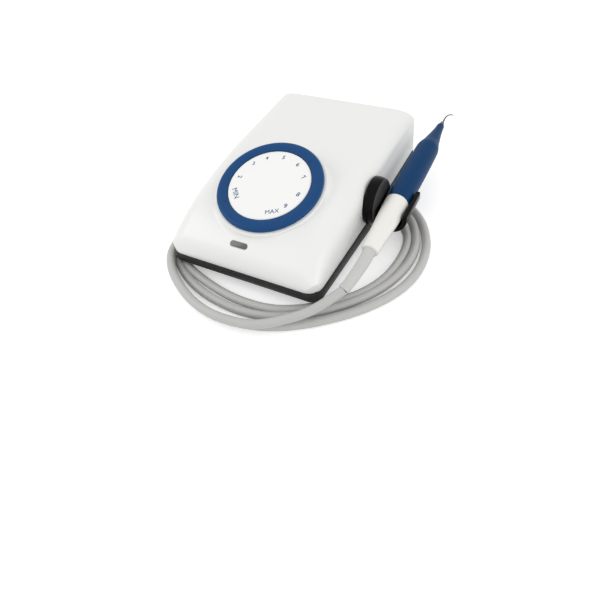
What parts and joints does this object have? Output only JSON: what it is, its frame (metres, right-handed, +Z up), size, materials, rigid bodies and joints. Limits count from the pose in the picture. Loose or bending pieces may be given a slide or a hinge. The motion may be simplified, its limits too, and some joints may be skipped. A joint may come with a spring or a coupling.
{
  "type": "ultrasonic dental scaler",
  "caption": "Tabletop ultrasonic dental scaler: rounded white power unit with a tilted power dial, and a slim handpiece with a hooked tip on a side holder, fed by a coiled hose.",
  "frame": {"origin": "middle of the underside of the object's box without its hose, on the table plane under the rubber feet", "axes": "+X towards the holder's side, +Y from the dial's end to the rear panel and along the handpiece to its tip, +Z up"},
  "size_m": [0.2136, 0.2889, 0.0668],
  "materials": {
    "case_white": "fine satin",
    "base_grey": "fine texture",
    "rubber_dark": "matte",
    "steel": "plain",
    "ring_blue": "satin",
    "plate_white": "satin",
    "nylon": "satin",
    "inner_grey": "plain",
    "lamp_grey": "smoked",
    "board_green": "plain",
    "ferrite": "matte",
    "copper": "enamelled wire",
    "aluminium": "satin",
    "brass": "turned",
    "black_plastic": "gloss",
    "tube_clear": "translucent",
    "connector_white": "satin",
    "sleeve_blue": "satin",
    "ceramic": "fired",
    "titanium": "turned",
    "hose_grey": "silicone",
    "boot_grey": "silicone",
    "holder_black": "satin face, glossy rim"
  },
  "bodies": {
    "unit": {"base_tray": "base_grey", "rubber_feet": "rubber_dark", "case_screws": "steel", "board_screws": "steel", "top_cover": "case_white", "led_window": "lamp_grey", "led_board": "board_green", "dial_bush": "nylon", "scale_plate": "plate_white", "dial_carrier": "inner_grey", "carrier_screws": "steel", "potentiometer": "black_plastic", "main_board": "board_green", "transformer_core": "ferrite", "transformer_windings": "copper", "heat_sink": "aluminium", "capacitors": "aluminium", "board_plugs": "nylon", "rear_panel": "base_grey", "panel_screws": "steel", "power_socket": "black_plastic", "footswitch_socket": "black_plastic", "hose_gland": "black_plastic", "gland_nut": "black_plastic", "flow_valve": "brass", "water_inlet": "brass", "inlet_nut": "brass", "valve_body": "brass", "valve_coil": "black_plastic", "inlet_tube": "tube_clear", "outlet_tube": "tube_clear", "handpiece_holder": "holder_black", "holder_screw": "steel", "hose_lead": "hose_grey", "hose_tail": "hose_grey", "hose_coil": "hose_grey"},
    "dial": {"dial_ring": "ring_blue", "dial_gear": "nylon", "hub_clip": "steel"},
    "pot_wheel": {"pot_gear": "nylon"},
    "flow_knob": {"water_knob": "inner_grey"},
    "connector": {"connector_shell": "connector_white", "contact_block": "black_plastic", "contact_pins": "brass", "hose_boot": "boot_grey"},
    "handpiece": {"handpiece_sleeve": "sleeve_blue", "handpiece_socket": "black_plastic", "transducer_mass": "steel", "piezo_rings": "ceramic", "transducer_horn": "titanium", "horn_seal": "rubber_dark"},
    "tip": {"scaler_tip": "titanium"}
  },
  "joints": [
    {"name": "dial_turn", "type": "hinge", "parent": "unit", "child": "dial", "pos_m": [-0.01665, -0.05335, 0.058], "axis": [0, -0.2198, 0.9755], "range_deg": [-135, 135]},
    {"name": "pot_turn", "type": "hinge", "parent": "unit", "child": "pot_wheel", "pos_m": [-0.01665, -0.02994, 0.06328], "axis": [0, -0.2198, 0.9755], "range_deg": [-135, 135]},
    {"name": "water_turn", "type": "hinge", "parent": "unit", "child": "flow_knob", "pos_m": [0.00035, 0.08705, 0.03], "axis": [0, 1, 0], "range_deg": [-135, 135]},
    {"name": "lift", "type": "slide", "parent": "unit", "child": "connector", "axis": [0, 0, 1], "range_m": [0, 0.03]},
    {"name": "pull_off", "type": "slide", "parent": "connector", "child": "handpiece", "axis": [0, 0.9993, 0.0375], "range_m": [0, 0.02]},
    {"name": "tip_off", "type": "slide", "parent": "handpiece", "child": "tip", "axis": [0, 0.9993, 0.0375], "range_m": [0, 0.008]}
  ],
  "couplings": [
    {"joint": "pot_turn", "follows": "dial_turn", "ratio": -1}
  ]
}
